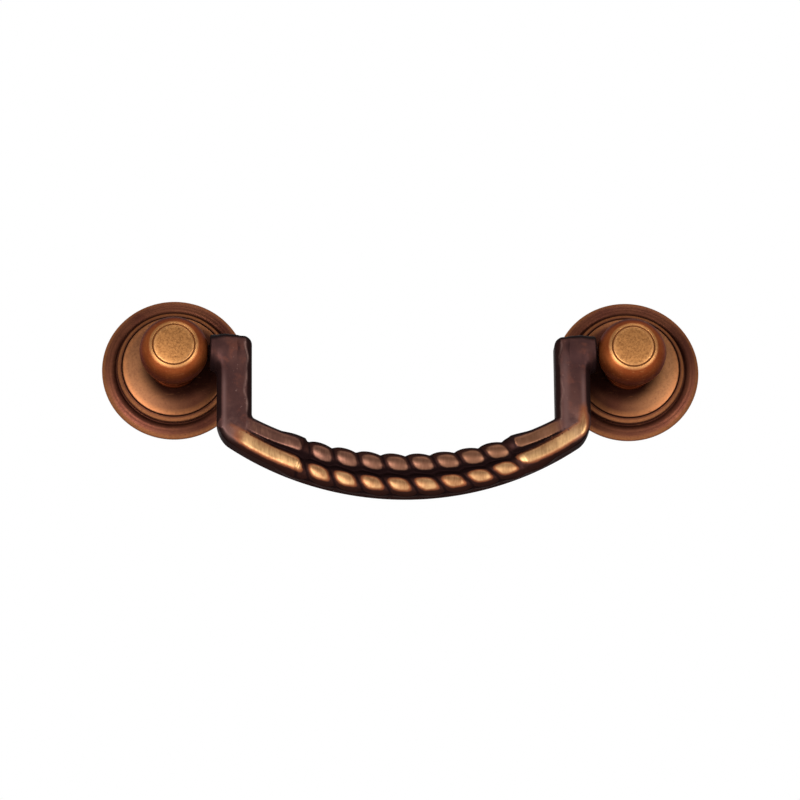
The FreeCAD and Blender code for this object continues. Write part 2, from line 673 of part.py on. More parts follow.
    # both beds first, then the bridge between the ropes, then the strands
    arcs = {}
    for rope, high, low, centre in (
        ("upper", "bed_top", "valley_drop", "grip_top_centre"),
        ("lower", "bed_border", "bed_base", "grip_base_centre"),
    ):
        section = new_sketch(body, rope + "_bed_section", "YZ_Plane")
        outline(section, [
            ("-carving_clear", "-" + high),
            ("-%s_bed_floor" % rope, "-" + high),
            ("-%s_bed_floor" % rope, "-" + low),
            ("-carving_clear", "-" + low),
        ])
        arcs[rope] = (section, [arc_axis(section, centre)])
        bed = body.newObject("PartDesign::Groove", rope + "_bed")
        bed.Profile = section
        bed.ReferenceAxis = arcs[rope]
        bed.Type = "TwoAngles"
        bed.setExpression("Angle", "Sizes.%s_right_turn - Sizes.bed_inset" % rope)
        bed.setExpression("Angle2", "Sizes.%s_left_turn - Sizes.bed_inset" % rope)
        volume = volume_after(bed, volume, False)
    section = new_sketch(body, "bridge_section", "YZ_Plane")
    outline(section, [
        ("-web_front", "-web_high"),
        ("-web_bottom", "-web_high"),
        ("-web_bottom", "-web_low"),
        ("-web_front", "-web_low"),
    ])
    bridge = body.newObject("PartDesign::Revolution", "bridge")
    bridge.Profile = section
    bridge.ReferenceAxis = (section, [arc_axis(section, "valley_centre")])
    bridge.setExpression("Angle", "2 * Sizes.upper_half_turn")
    bridge.Midplane = True
    volume = volume_after(bridge, volume, True)
    for rope in ("upper", "lower"):
        section = new_sketch(body, rope + "_strand_section", "XZ_Plane",
                             offset_x="Sizes.%s_across" % rope,
                             offset_y="Sizes.%s_up" % rope,
                             offset_z="Sizes.%s_out" % rope,
                             turn="Sizes.%s_tilt" % rope)
        half_ellipse(section, rope + "_long", rope + "_short")
        strand = turn_about(body, rope + "_strand", section, "H_Axis")
        volume = volume_after(strand, volume, True)
        rest = body.newObject("PartDesign::PolarPattern", rope + "_strands")
        rest.Originals = [strand]
        rest.Axis = arcs[rope]
        rest.Mode = "Spacing"
        rest.setExpression("Offset", "Sizes.%s_pitch" % rope)
        rest.setExpression("Occurrences", "Sizes.strands")
        body.Tip = rest
        volume = volume_after(rest, volume, True)
    return body


rosettes = [build_rosette("rosette_left", "-"), build_rosette("rosette_right", "")]
posts = [build_post("post_left", "-", True), build_post("post_right", "", False)]
bail = build_bail()

for item in doc.Objects:
    if "Invalid" in item.State or "Error" in item.State:
        raise RuntimeError(item.Name + " is not valid: " + item.getStatusString())
for node in rosettes + posts + [bail]:
    if node.Shape.isNull() or not node.Shape.isValid() or len(node.Shape.Solids) != 1:
        raise RuntimeError(node.Label + " is not one valid solid")
for node in rosettes + posts + [bail]:
    print(node.Label, round(node.Shape.Volume, 1), node.Shape.BoundBox)
    node.Shape.exportStep(os.path.join("parts", node.Label + ".step"))
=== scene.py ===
import bpy
import json
import math
import numpy as np
from mathutils import Matrix, Vector


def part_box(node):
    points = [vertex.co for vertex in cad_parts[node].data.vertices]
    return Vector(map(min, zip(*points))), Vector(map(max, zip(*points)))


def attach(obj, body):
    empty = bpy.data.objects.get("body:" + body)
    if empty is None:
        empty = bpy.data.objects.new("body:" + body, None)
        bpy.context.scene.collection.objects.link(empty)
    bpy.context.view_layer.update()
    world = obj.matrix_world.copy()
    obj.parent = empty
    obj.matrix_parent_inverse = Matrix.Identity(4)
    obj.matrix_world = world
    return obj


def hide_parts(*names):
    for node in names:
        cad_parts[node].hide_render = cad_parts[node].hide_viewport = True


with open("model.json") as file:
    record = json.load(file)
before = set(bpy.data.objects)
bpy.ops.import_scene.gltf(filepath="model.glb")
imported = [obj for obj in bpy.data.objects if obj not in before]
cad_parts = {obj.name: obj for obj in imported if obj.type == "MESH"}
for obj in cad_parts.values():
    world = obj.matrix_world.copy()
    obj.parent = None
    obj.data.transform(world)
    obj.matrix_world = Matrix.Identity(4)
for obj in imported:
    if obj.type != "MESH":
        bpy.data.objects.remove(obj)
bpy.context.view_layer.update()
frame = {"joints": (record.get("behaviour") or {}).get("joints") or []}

# The row frame is in metres: X along the handle, Y into the drawer front, Z up. All lengths below are in
# millimetres and heights are measured out from the mounting face, so a height is -y.
MM = 0.001


# sizes taken from the frame
hinge = frame["joints"][0]
PIVOT = -hinge["pos_m"][1] / MM
plate_low, plate_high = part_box("rosette_right")
POST_X = (plate_low.x + plate_high.x) / 2 / MM
PLATE_RADIUS = (plate_high.x - plate_low.x) / 2 / MM
post_low, post_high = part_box("post_right")
GLOBE_RADIUS = (post_high.x - post_low.x) / 2 / MM

# rosette profile: a pair is a radius and a height
FOOT_RADIUS = 15.0
FOOT_CHAMFER = 0.35
SIDE_TOP = 0.95
RIM_LINE = (13.85, 2.0)
RIM_ROLL = 1.9
COVE = (12.4, 1.75)
INNER_ROLL = 1.05
STEP_FOOT = 12.1
STEP_TOP = (12.0, 2.8)
BEVEL = (11.2, 3.6)
LINE_WIDTH = 0.36
LINE_DEPTH = 0.3
LINE_LIP = 0.05
SEAT = (6.1, 4.4)
DOME_CURVE = 22
HUB_BORE = 3.5
HUB_RADIUS = 5.4
SHELL = ((10.2, 2.5), (12.0, 0.7), (13.9, 0.7))

# post profile, from the tapped hole round to the cap
TAP_RADIUS = 1.65
TAP_DEPTH = 8.0
TAP_CONE = 1.0
SPIGOT = 3.45
FOOT = 5.0
BEAD_HEIGHT = 0.96
BEAD_ROUND = 0.52
NECK = 4.7
NECK_CURVE = 3.1
GLOBE_MIDDLE = 13.9
GLOBE_HALF = 4.2
GLOBE_END = 4.75
CAP_STEP = 0.12
CAP_RIM = 4.6
CAP_RING = 4.4
RING_DEPTH = 0.36
CAP_RISE = 0.3
PIN_HOLE = 1.65
PIN_HOLE_PAST = 1.2

# how fine the turned pieces are: reach of a softened corner, longest stretch of a profile, points in a ring
ROSETTE_FINE = (0.16, 0.42, 220)
POST_FINE = (0.14, 0.4, 200)

# bail, measured from the swing axis; "out" is away from the drawer, a centre is a height above the axis
BAIL_HALF = 3.5
ARM_INNER = 31.7
ARM_OUTER = 39.05
ARM_TOP = 3.1
ARM_TOP_ROUND = 1.9
ELBOW_ROUND = 2.5
CORNER_ROUND = 0.35
EDGE_ROUND = 1.7
TOP_CURVE, TOP_CENTRE = 66.9, 44.15
BASE_CURVE, BASE_CENTRE = 65.0, 33.62

# boss and pin: distance from the middle of the handle and radius where the boss starts, thins and is full
BOSS_START = (33.95, 2.8)
BOSS_THIN = (34.75, 3.45)
BOSS_FULL = (37.05, 3.85)
BOSS_END = 40.5
BOSS_ROUND = 0.5
PIN_RADIUS = 1.6
PIN_END = 46.1

# valley between the plain strands: its left and right end and its run-out are in degrees
VALLEY_CURVE, VALLEY_CENTRE = 64.5, 37.4
VALLEY_HALF, VALLEY_DEPTH, VALLEY_FLOOR = 1.7, 1.25, 0.3
VALLEY_ENDS = (31.92, 32.86)
RUN_OUT = 11.1

# Ropes: core is the radius of a rope's middle line about its centre; pitch, slant and lead are in degrees;
# height is half a strand's. Floor is how far out the bed lies, low and high are how far its sides lie below
# the swing axis in the middle of the grip. Swell is half a strand's length in pitches, and the bed's inset
# is in degrees.
STRANDS = 10
SWELL = 0.76
FRONT_GAP = 0.08
BED_INSET = 0.7
ROPES = {
    "upper": dict(centre=TOP_CENTRE, core=TOP_CURVE + 2.05, pitch=4.365, slant=25.0, lead=0.83, height=2.4,
                  floor=-0.4, low=27.1, high=20.75),
    "lower": dict(centre=BASE_CENTRE, core=BASE_CURVE - 2.1, pitch=5.12, slant=34.6, lead=1.35, height=2.45,
                  floor=1.1, low=33.38, high=26.8),
}

# bridge between the two beds: half its width, back, front, its end in degrees, and the length of a degree
WEB_HALF, WEB_BACK, WEB_FRONT = 1.1, -0.9, 2.0
WEB_END, DEGREE = 19.6, 1.1

# reach within which two forms of the casting flow together; the ropes flow more towards their ends
EDGE_FLOW = 0.2
STRAND_FLOW = 0.16
ROPE_FLOW = 0.35
ROPE_END_FLOW = 0.9
ROPE_END = (18.0, 19.5)
BOSS_FLOW = 1.5

# box that the surface of the bail is looked for in, and the spacing of its points
GRID_LOW = (-PIN_END - 0.6, -PIVOT - BAIL_HALF - 1.1, -32.4)
GRID_HIGH = (PIN_END + 0.6, -PIVOT + BAIL_HALF + 1.1, ARM_TOP + 1.1)
GRID = 0.27

# worn patch on a strand: half length in pitches, half height in strand heights, rise in millimetres
PATCH = {"upper": (0.36, 0.6, -0.25), "lower": (0.35, 0.53, -0.3)}
# worn part of a plain strand: starts past the last crease at the left and right end, half height and rise
PLAIN = {"upper": (1.75, 1.3, 0.56, 0.0), "lower": (0.75, 0.75, 0.58, 0.05)}
# how far the outer half of each dome is lightened, by wear and a painted sheen
DOME_WEAR_AND_SHEEN = {"left": 0.42, "right": 0.7}

# colours as seen on a screen, 0 to 255
# the recess colour is painted shade as well as dark grain, crest is wear with painted highlights, and gold is
# worn metal with a painted sheen on the rosette domes
ROSETTE_COLOURS = {
    "body": (80, 46, 37), "warm": (94, 57, 42), "recess": (40, 21, 17),
    "crest": (168, 108, 68), "gold": (168, 116, 78),
}
POST_COLOURS = {
    "body": (106, 52, 28), "warm": (128, 70, 38), "recess": (58, 25, 13),
    "crest": (200, 144, 92), "gold": (182, 126, 76),
}
# these colours include painted light: shade in the hollows, on the arms and underneath, a sheen on the arm
# edges and a highlight on the plain strands
PATINA_COLOURS = {
    "brown": (58, 40, 39), "lighter": (72, 49, 45), "reddish": (96, 58, 48), "speck": (122, 94, 88),
    "painted_sheen": (94, 71, 68), "underside": (36, 22, 19), "patina_and_shade": (28, 19, 19), "edge": (138, 108, 100),
    "halo": (106, 62, 42), "gold": (142, 98, 67), "gold light": (164, 121, 84), "gold pale": (204, 164, 116),
    "painted_highlight": (228, 184, 128), "dull left": (94, 65, 57), "dull right": (116, 80, 60),
    "dull light": (136, 98, 78),
}

# camera, fitted to the photograph: angles in degrees, focal length in pixels of a picture that is 800 wide,
# and the limits of what it sees in metres
AZIMUTH, ELEVATION, ROLL = -2.38, -17.98, -0.52
DISTANCE, FOCAL, PICTURE = 984.0, 4644.0, 800
CAMERA_AIM = (-0.22, 0, -6.17)
SENSOR = 36
NEAREST, FARTHEST = 0.01, 100

# lights: place, aim, width, height and power in watts
LIGHTS = {
    "left_light": ((-400, -600, -190), (0, 0, -8), 380, 360, 7.2),
    "right_light": ((520, -540, -130), (0, 0, -8), 300, 360, 4.2),
    "top_light": ((120, -260, 620), (0, 0, 0), 600, 300, 1.5),
}
# world: how far round from the camera's side (0) to behind the part (1) it is still grey, and is all white
GREY_UNTIL, GREY = 0.25, 0.16
WHITE_FROM = 0.9
FLOOR_REACH, FLOOR_LEVEL = 6000.0, -420
FLOOR_COLOUR = (0.86, 0.86, 0.86, 1)


# meshes

def put(name, points, faces, smooth=True):
    """A mesh object from points in millimetres of the row frame."""
    mesh = bpy.data.meshes.new(name)
    places = [tuple(p) for p in np.asarray(points) * MM]
    mesh.from_pydata(places, [], [tuple(int(i) for i in f) for f in faces])
    mesh.validate()
    mesh.update()
    if smooth:
        mesh.shade_smooth()
    thing = bpy.data.objects.new(name, mesh)
    bpy.context.scene.collection.objects.link(thing)
    return thing


def give(thing, values):
    """Named numbers for each point of a mesh, for its material to read."""
    for name, numbers in values.items():
        layer = thing.data.attributes.new(name, "FLOAT", "POINT")
        layer.data.foreach_set("value", np.asarray(numbers, np.float32))


def bow(start, end, radius, side, count=10):
    """Points on the shorter arc between two profile points; side +1 bulges to the left of the way."""
    a = np.array(start, float)
    b = np.array(end, float)
    along = b - a
    half = np.hypot(*along) / 2
    left = np.array([-along[1], along[0]]) / (2 * half)
    centre = (a + b) / 2 - left * side * math.sqrt(max(radius * radius - half * half, 0))
    first = math.atan2(*(a - centre)[::-1])
    last = math.atan2(*(b - centre)[::-1])
    turn = (last - first + math.pi) % (2 * math.pi) - math.pi
    angles = first + turn * np.linspace(0, 1, count + 1)
    return [tuple(centre + radius * np.array([math.cos(t), math.sin(t)])) for t in angles]


def soften(profile, reach, sharp=14):
    """Corners of an open profile that turn by more than sharp degrees become curves that reach so far."""
    points = [np.array(p, float) for p in profile]
    out = [points[0]]
    for before, here, after in zip(points, points[1:], points[2:]):
        back = before - here
        on = after - here
        back_length = np.hypot(*back)
        on_length = np.hypot(*on)
        turn = math.acos(max(-1, min(1, -np.dot(back, on) / (back_length * on_length))))
        if turn < math.radians(sharp):
            out.append(here)
            continue
        r = min(reach, 0.45 * back_length, 0.45 * on_length)
        p = here + back / back_length * r
        q = here + on / on_length * r
        for t in (0, 0.25, 0.5, 0.75, 1):
            out.append((1 - t) ** 2 * p + 2 * t * (1 - t) * here + t * t * q)
    out.append(points[-1])
    return out


def refine(profile, step):
    """The same profile with no stretch longer than step."""
    out = [profile[0]]
    for a, b in zip(profile, profile[1:]):
        n = max(1, int(math.ceil(np.hypot(*(b - a)) / step)))
        out += [a + (b - a) * k / n for k in range(1, n + 1)]
    return out


def turned(name, profile, post_x, closed, segments):
    """A profile of radius and height turned round a post axis; one that isn't closed has both ends on it."""
    rings = np.array(profile if closed else profile[1:-1])
    angles = np.linspace(0, 2 * math.pi, segments, endpoint=False)
    radius, height = rings.T
    x = post_x + radius[:, None] * np.cos(angles)
    z = radius[:, None] * np.sin(angles)
    y = -height[:, None] * np.ones(segments)
    points = np.stack([x, y, z], -1).reshape(-1, 3)
    count = len(rings)
    faces = []
    for i in range(count if closed else count - 1):
        j = (i + 1) % count
        for k in range(segments):
            m = (k + 1) % segments
            faces.append((i * segments + k, i * segments + m, j * segments + m, j * segments + k))
    if not closed:
        pole = count * segments
        last_ring = pole - segments
        points = np.vstack([points, (post_x, -profile[0][1], 0), (post_x, -profile[-1][1], 0)])
        for k in range(segments):
            m = (k + 1) % segments
            faces.append((pole, m, k))
            faces.append((last_ring + k, last_ring + m, pole + 1))
    return put(name, points, faces)


def about(thing, post_x):
    """For each point of a turned piece: radius, height, and its place to the right and up from the axis."""
    spots = np.empty(len(thing.data.vertices) * 3)
    thing.data.vertices.foreach_get("co", spots)
    x, y, z = spots.reshape(-1, 3).T / MM
    return np.hypot(x - post_x, z), -y, x - post_x, z


def drill(thing, start, end, radius, sides=64, sharp=50):
    """A blind round hole along X at the height of the swing axis, cut out of a piece."""
    angles = np.linspace(0, 2 * math.pi, sides, endpoint=False)
    if start > end:
        angles = -angles
    ring = np.stack([angles * 0, -PIVOT - radius * np.cos(angles), radius * np.sin(angles)], -1)
    faces = [(k, (k + 1) % sides, sides + (k + 1) % sides, sides + k) for k in range(sides)]
    faces += [tuple(range(sides))[::-1], tuple(range(sides, 2 * sides))]
    tool = put("tool", np.vstack([ring + (start, 0, 0), ring + (end, 0, 0)]), faces)
    cut = thing.modifiers.new("hole", "BOOLEAN")
    cut.operation = "DIFFERENCE"
    cut.solver = "EXACT"
    cut.object = tool
    shape = bpy.data.meshes.new_from_object(thing.evaluated_get(bpy.context.evaluated_depsgraph_get()))
    thing.modifiers.clear()
    thing.data = shape
    bpy.data.objects.remove(tool)
    shape.set_sharp_from_angle(angle=math.radians(sharp))


# masks from 0 to 1, worked out for each point of a mesh

def fade(value, start, end):
    """0 up to start and 1 from end on, which may be the lower of the two."""
    return np.clip((value - start) / (end - start), 0, 1)


def bell(value, middle, width):
    """1 in the middle, falling off smoothly on both sides."""
    return np.exp(-((value - middle) / width) ** 2)


def near(radius, height, spot, reach):
    """1 at a profile spot, falling to 0 at reach."""
    away = np.hypot(radius - spot[0], height - spot[1])
    return np.clip(1 - away / reach, 0, 1)


# turned pieces

def rosette(name, post_x):
    """The backplate as cast, with softened steps and the hollow back."""
    rim = PLATE_RADIUS
    groove = (BEVEL[0] - LINE_WIDTH / 2, BEVEL[1] - LINE_DEPTH)
    lip = (BEVEL[0] - LINE_WIDTH, BEVEL[1] + LINE_LIP)
    outline = [(SHELL[2][0], 0), (FOOT_RADIUS, 0), (rim, FOOT_CHAMFER), (rim, SIDE_TOP)]
    outline += bow((rim, SIDE_TOP), RIM_LINE, RIM_ROLL, -1)[1:]
    outline += bow(RIM_LINE, COVE, INNER_ROLL, -1)[1:]
    outline += [(STEP_FOOT, COVE[1]), STEP_TOP, BEVEL, groove, lip]
    outline += bow(lip, SEAT, DOME_CURVE, -1, 16)[1:]
    outline += [(HUB_BORE, SEAT[1]), (HUB_BORE, 0), (HUB_RADIUS, 0), (HUB_RADIUS, SHELL[0][1])]
    outline += list(SHELL)
    reach, step, segments = ROSETTE_FINE
    soft = soften(outline, reach)
    profile = refine(soft + soft[:1], step)[:-1]
    thing = turned(name, profile[::-1], post_x, True, segments)

    # painted shade in the cove, along the rim line, in the cut line, round the post and on the back; the
    # steps and the rim are lighter, part wear and part painted highlight
    r, h, right, up = about(thing, post_x)
    dark = np.maximum.reduce([
        near(r, h, (STEP_FOOT + 0.3, COVE[1]), 1.6) * 0.7,
        near(r, h, groove, 0.42) * 1.6,
        near(r, h, RIM_LINE, 0.5) * 0.35,
        near(r, h, (SEAT[0] - 0.9, SEAT[1]), 3.4) * 0.9,
        np.where(h < 0.3, 0.5, 0),
    ])
    light = np.maximum.reduce([
        near(r, h, (STEP_TOP[0] - 0.25, STEP_TOP[1] + 0.25), 0.55),
        near(r, h, (BEVEL[0] - 0.7, BEVEL[1] + 0.1), 0.9) * 0.7,
        near(r, h, (PLATE_RADIUS - 0.15, 1.2), 1.0) * 0.75,
    ])
    # the dome's outer side is lighter, wear with a painted sheen; the half next to the bail is darker, patina
    # with the bail's painted shadow, and the lower inner part carries painted shade
    outward = right * math.copysign(1, post_x) / np.maximum(r, 1)
    upward = up / np.maximum(r, 1)
    on_dome = fade(r, BEVEL[0] - 0.3, BEVEL[0] - 0.7) * fade(h, 3.2, 3.5)
    share = DOME_WEAR_AND_SHEEN["left" if post_x < 0 else "right"]
    wear_and_sheen = np.clip(0.08 + share * outward - 0.12 * upward, 0, 0.9)
    bail_side_shadow = -1.1 * outward - 0.1 - 0.3 * np.abs(upward + 0.2)
    low_side_shade = -0.3 * upward - 0.25 * outward
    patina_and_shade = np.clip(np.maximum(bail_side_shadow, low_side_shade), 0, 1)
    give(thing, {
        "dark": np.clip(dark, 0, 1),
        "light": np.clip(light, 0, 1),
        "dome": on_dome * wear_and_sheen,
        "painted_shade": on_dome * patina_and_shade,
    })
    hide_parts(name.replace("_dressed", ""))
    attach(thing, "mount")
    return thing


def post(name, post_x):
    """The turned post with its globe and cap, and the cross hole for the pin."""
    start = GLOBE_MIDDLE - GLOBE_HALF
    front = GLOBE_MIDDLE + GLOBE_HALF
    rim = front + CAP_STEP
    drop = GLOBE_RADIUS - GLOBE_END
    curve = (drop ** 2 + GLOBE_HALF ** 2) / (2 * drop)
    edge = 2 * CAP_RING - CAP_RIM
    cap = (edge ** 2 + CAP_RISE ** 2) / (2 * CAP_RISE)
    bead = SEAT[1] + BEAD_HEIGHT
    outline = [(0, TAP_DEPTH + TAP_CONE), (TAP_RADIUS, TAP_DEPTH), (TAP_RADIUS, 0), (SPIGOT, 0)]
    outline += [(SPIGOT, SEAT[1]), (FOOT, SEAT[1])]
    outline += bow((FOOT, SEAT[1]), (FOOT, bead), BEAD_ROUND, -1, 8)[1:]
    outline += [(NECK, bead)]
    outline += bow((NECK, bead), (GLOBE_END, start), NECK_CURVE, 1, 10)[1:]
    outline += bow((GLOBE_END, start), (GLOBE_END, front), curve, -1, 30)[1:]
    outline += [(CAP_RIM, rim), (CAP_RING, rim - RING_DEPTH), (edge, rim)]
    outline += bow((edge, rim), (0, rim + CAP_RISE), cap, -1, 10)[1:]
    reach, step, segments = POST_FINE
    profile = refine(soften(outline, reach), step)
    thing = turned(name, profile[::-1], post_x, False, segments)
    side = math.copysign(1, post_x)
    drill(thing, post_x - side * (GLOBE_RADIUS + 1), post_x + side * PIN_HOLE_PAST, PIN_HOLE)

    # painted shade in the ring, on the neck, at the widest part of the globe, at the foot and in the pin
    # hole; lighter round the ring, part wear and part painted highlight, and a painted highlight on the bead
    r, h, _, up = about(thing, post_x)
    dark = np.maximum.reduce([
        near(r, h, (CAP_RING, rim - RING_DEPTH / 2), 0.72) * 0.55,
        fade(h, GLOBE_MIDDLE - 1.2, GLOBE_MIDDLE - 3.8) * 0.85,
        fade(r, 5.9, 7.1) * 0.5,
        near(r, h, (FOOT, SEAT[1]), 0.5),
        np.hypot(h - PIVOT, up) < PIN_HOLE + 0.02,
    ])
    light = np.maximum.reduce([
        near(r, h, (CAP_RIM + 0.15, rim - 0.1), 0.55) * 1.2,
        near(r, h, (edge - 0.15, rim), 0.6) * 0.8,
        near(r, h, (FOOT + BEAD_ROUND * 0.6, SEAT[1] + 0.55), 0.3) * 0.8,
    ])
    # the top and the bottom of the globe carry painted shade
    upward = up / np.maximum(r, 1)
    on_globe = fade(h, front - 0.1, front - 1.3)
    give(thing, {
        "dark": np.clip(dark, 0, 1),
        "light": np.clip(light, 0, 1),
        "dome": fade(h, front - 0.1, front + 0.1),
        "painted_shade": on_globe * np.clip(0.1 + 0.42 * np.maximum(upward, -0.55 * upward), 0, 1),
    })
    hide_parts(name.replace("_dressed", ""))
    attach(thing, "mount")
    return thing


# the bail as a field: negative inside, about the distance in millimetres outside

def round_max(a, b, radius):
    """Both at once, with the edge between them rounded."""
    p = a + radius
    q = b + radius
    return np.hypot(np.maximum(p, 0), np.maximum(q, 0)) + np.minimum(np.maximum(p, q), 0) - radius


def soft_min(a, b, reach):
    """Either of two, flowing together within reach."""
    near_by = np.maximum(reach - np.abs(a - b), 0) / reach
    return np.minimum(a, b) - near_by ** 2 * reach / 4


def soft_max(a, b, reach):
    """Both at once, with the corner between them filled within reach."""
    return -soft_min(-a, -b, reach)


def along_valley(x, z):
    """Distance from the valley's middle line, degrees from the grip's middle, and degrees past its end."""
    off = np.abs(np.hypot(x, VALLEY_CENTRE - z) - VALLEY_CURVE)
    swing = np.degrees(np.arctan2(np.abs(x), VALLEY_CENTRE - z))
    return off, swing, swing - np.where(x < 0, VALLEY_ENDS[0], VALLEY_ENDS[1])


def along_rope(x, z, rope):
    """Angle from the middle of the grip, distance from the rope's centre, and height over its middle line."""
    radius = np.hypot(x, rope["centre"] - z)
    return np.arctan2(x, rope["centre"] - z), radius, rope["core"] - radius


def strand_places(rope):
    """The angles at which the strands of a rope lie."""
    half_turn = rope["pitch"] * (STRANDS - 1) / 2
    return [math.radians(-half_turn + rope["lead"] + i * rope["pitch"]) for i in range(STRANDS)]


def strand_terms(rope):
    """Half length, shear and half thickness of a strand."""
    half = SWELL * rope["core"] * math.radians(rope["pitch"])
    lean = math.tan(math.radians(rope["slant"]))
    one = 1 / half ** 2
    two = lean * one
    three = lean * two + 1 / rope["height"] ** 2
    mean = (one + three) / 2
    spread = math.hypot((three - one) / 2, two)
    return half, lean, 1 / math.sqrt(mean + spread)


def strand_field(x, z, out, rope):
    """The row of strands of one rope."""
    half, lean, thick = strand_terms(rope)
    angle, _, up = along_rope(x, z, rope)
    core_out = BAIL_HALF - FRONT_GAP - thick
    best = None
    for place in strand_places(rope):
        s = (angle - place) * rope["core"] + lean * up
        value = (s / half) ** 2 + (up / rope["height"]) ** 2 + ((out - core_out) / thick) ** 2
        gx = s / half ** 2
        gz = lean * gx + up / rope["height"] ** 2
        gy = (out - core_out) / thick ** 2
        root = np.sqrt(value)
        field = root * (root - 1) / np.maximum(np.sqrt(gx * gx + gy * gy + gz * gz), 1e-6)
        best = field if best is None else soft_min(best, field, STRAND_FLOW)
    return best


def bail_field(p):
    """The whole handle: plate with rounded edges, valley, beds, bridge, strands, bosses and pins."""
    x, y, z = p[..., 0], p[..., 1], p[..., 2]
    out = -y - PIVOT
    side = np.abs(x)
    base = np.hypot(x, z - BASE_CENTRE) - BASE_CURVE
    top = TOP_CURVE - np.hypot(x, z - TOP_CENTRE)
    inner = soft_min(ARM_INNER - side, top, 2 * CORNER_ROUND)
    outline = round_max(side - ARM_OUTER, base, ELBOW_ROUND)
    outline = np.maximum(outline, inner)
    outline = round_max(outline, z - ARM_TOP, ARM_TOP_ROUND)
    body = round_max(outline, np.abs(out) - BAIL_HALF, EDGE_ROUND)

    # the valley between the plain strands: at both ends its section rises out of the metal
    off, swing, past = along_valley(x, z)
    shoulder = ((VALLEY_HALF - VALLEY_FLOOR) ** 2 + VALLEY_DEPTH ** 2) / (2 * VALLEY_DEPTH)
    inward = np.clip(VALLEY_HALF - off, 0, VALLEY_HALF - VALLEY_FLOOR)
    deep = shoulder - np.sqrt(shoulder ** 2 - inward ** 2)
    rise = VALLEY_DEPTH * np.clip(past / RUN_OUT + 1, 0, 1.2)
    body = soft_max(body, out - BAIL_HALF + np.maximum(deep - rise, 0), EDGE_FLOW)

    # beds, the bridge between them and the strands
    for rope in ROPES.values():
        places = strand_places(rope)
        angle, radius, _ = along_rope(x, z, rope)
        near_end = (places[0] + math.radians(BED_INSET) - angle) * rope["core"]
        far_end = (angle - places[-1] + math.radians(BED_INSET)) * rope["core"]
        low = rope["centre"] + rope["low"]
        high = rope["centre"] + rope["high"]
        bed = np.maximum.reduce([near_end, far_end, rope["floor"] - out, radius - low, high - radius])
        body = soft_max(body, -bed, EDGE_FLOW)
    web_end = (swing - WEB_END) * DEGREE
    web = np.maximum.reduce([off - WEB_HALF, out - WEB_FRONT, WEB_BACK - out, web_end])
    body = soft_min(body, web, EDGE_FLOW)
    ropes = np.minimum(strand_field(x, z, out, ROPES["upper"]), strand_field(x, z, out, ROPES["lower"]))
    body = soft_min(body, ropes, ROPE_FLOW + ROPE_END_FLOW * fade(swing, *ROPE_END))

    # boss and pin
    away = np.hypot(out, z)
    taper = np.interp(side, *zip(BOSS_START, BOSS_THIN, BOSS_FULL))
    boss = round_max(away - taper, side - BOSS_END, BOSS_ROUND)
    boss = np.maximum(boss, BOSS_START[0] - side)
    body = soft_min(body, boss, BOSS_FLOW)
    pin = np.maximum(away - PIN_RADIUS, np.maximum(side - PIN_END, BOSS_FULL[0] - side))
    return np.minimum(body, pin)


CELL_EDGES = [(a, b) for a in np.ndindex(2, 2, 2) for b in np.ndindex(2, 2, 2)
              if sum(b) - sum(a) == 1 and all(q >= p for p, q in zip(a, b))]


def skin(field, low, high, step):
    """A closed quad mesh on the zero level of a field: one point for each cell that the surface crosses."""
    counts = [int(math.ceil((h - l) / step)) + 1 for l, h in zip(low, high)]
    axes = [low[k] + step * np.arange(counts[k]) for k in range(3)]
    values = np.empty(counts, np.float32)
    for i, x in enumerate(axes[0]):
        plane = np.stack(np.meshgrid([x], axes[1], axes[2], indexing="ij"), -1)
        values[i] = field(plane)[0]
    inside = values < 0
    total = sum(inside[a:counts[0] - 1 + a, b:counts[1] - 1 + b, c:counts[2] - 1 + c].astype(np.int8)
                for a, b, c in np.ndindex(2, 2, 2))
    mixed = (total > 0) & (total < 8)
    cells = np.stack(np.nonzero(mixed), -1)
    index = -np.ones(mixed.shape, np.int64)
    index[mixed] = np.arange(len(cells))
    place = np.zeros((len(cells), 3))
    weight = np.zeros(len(cells))
    for a, b in CELL_EDGES:
        fa = values[tuple((cells + a).T)]
        fb = values[tuple((cells + b).T)]
        cut = (fa < 0) != (fb < 0)
        t = (fa[cut] / (fa[cut] - fb[cut]))[:, None]
        place[cut] += np.array(a) + t * (np.array(b) - np.array(a))
        weight[cut] += 1
    points = np.array(low) + step * (cells + place / weight[:, None])
    quads = []
    for axis in range(3):
        u, v = (axis + 1) % 3, (axis + 2) % 3
        here = np.take(inside, np.arange(counts[axis] - 1), axis)
        there = np.take(inside, np.arange(1, counts[axis]), axis)
        spots = np.stack(np.nonzero(here != there), -1)
        fine = np.all([(spots[:, k] > 0) & (spots[:, k] < counts[k] - 1) for k in (u, v)], axis=0)
        spots = spots[fine]
        grows = here[tuple(spots.T)]
        corners = []
        for du, dv in ((-1, -1), (0, -1), (0, 0), (-1, 0)):
            shift = np.zeros(3, int)
            shift[u] = du
            shift[v] = dv
            corners.append(index[tuple((spots + shift).T)])
        quad = np.stack(corners, -1)
        quad[~grows] = quad[~grows][:, ::-1]
        quads.append(quad)
    return points, np.concatenate(quads)


def slope(field, points, step=0.01):
    """Value and gradient of a field at points."""
    value = field(points)
    parts = []
    for k in range(3):
        shift = np.zeros(3)
        shift[k] = step
        parts.append((field(points + shift) - field(points - shift)) / (2 * step))
    return value, np.stack(parts, -1)


def settle(field, points, step):
    """Moves points onto the surface by a few short steps."""
    for _ in range(3):
        value, grad = slope(field, points)
        move = value[:, None] * grad / np.maximum((grad ** 2).sum(-1, keepdims=True), 0.2)
        length = np.maximum(np.linalg.norm(move, axis=-1, keepdims=True), 1e-9)
        points = points - move * np.minimum(1, 0.4 * step / length)
    return points


def closeness(points, normal, reach=0.45):
    """Above zero in hollows: how much nearer the surface comes than a flat one would, a little way out."""
    return 1 - bail_field(points + normal * reach) / reach


# wear of the bail

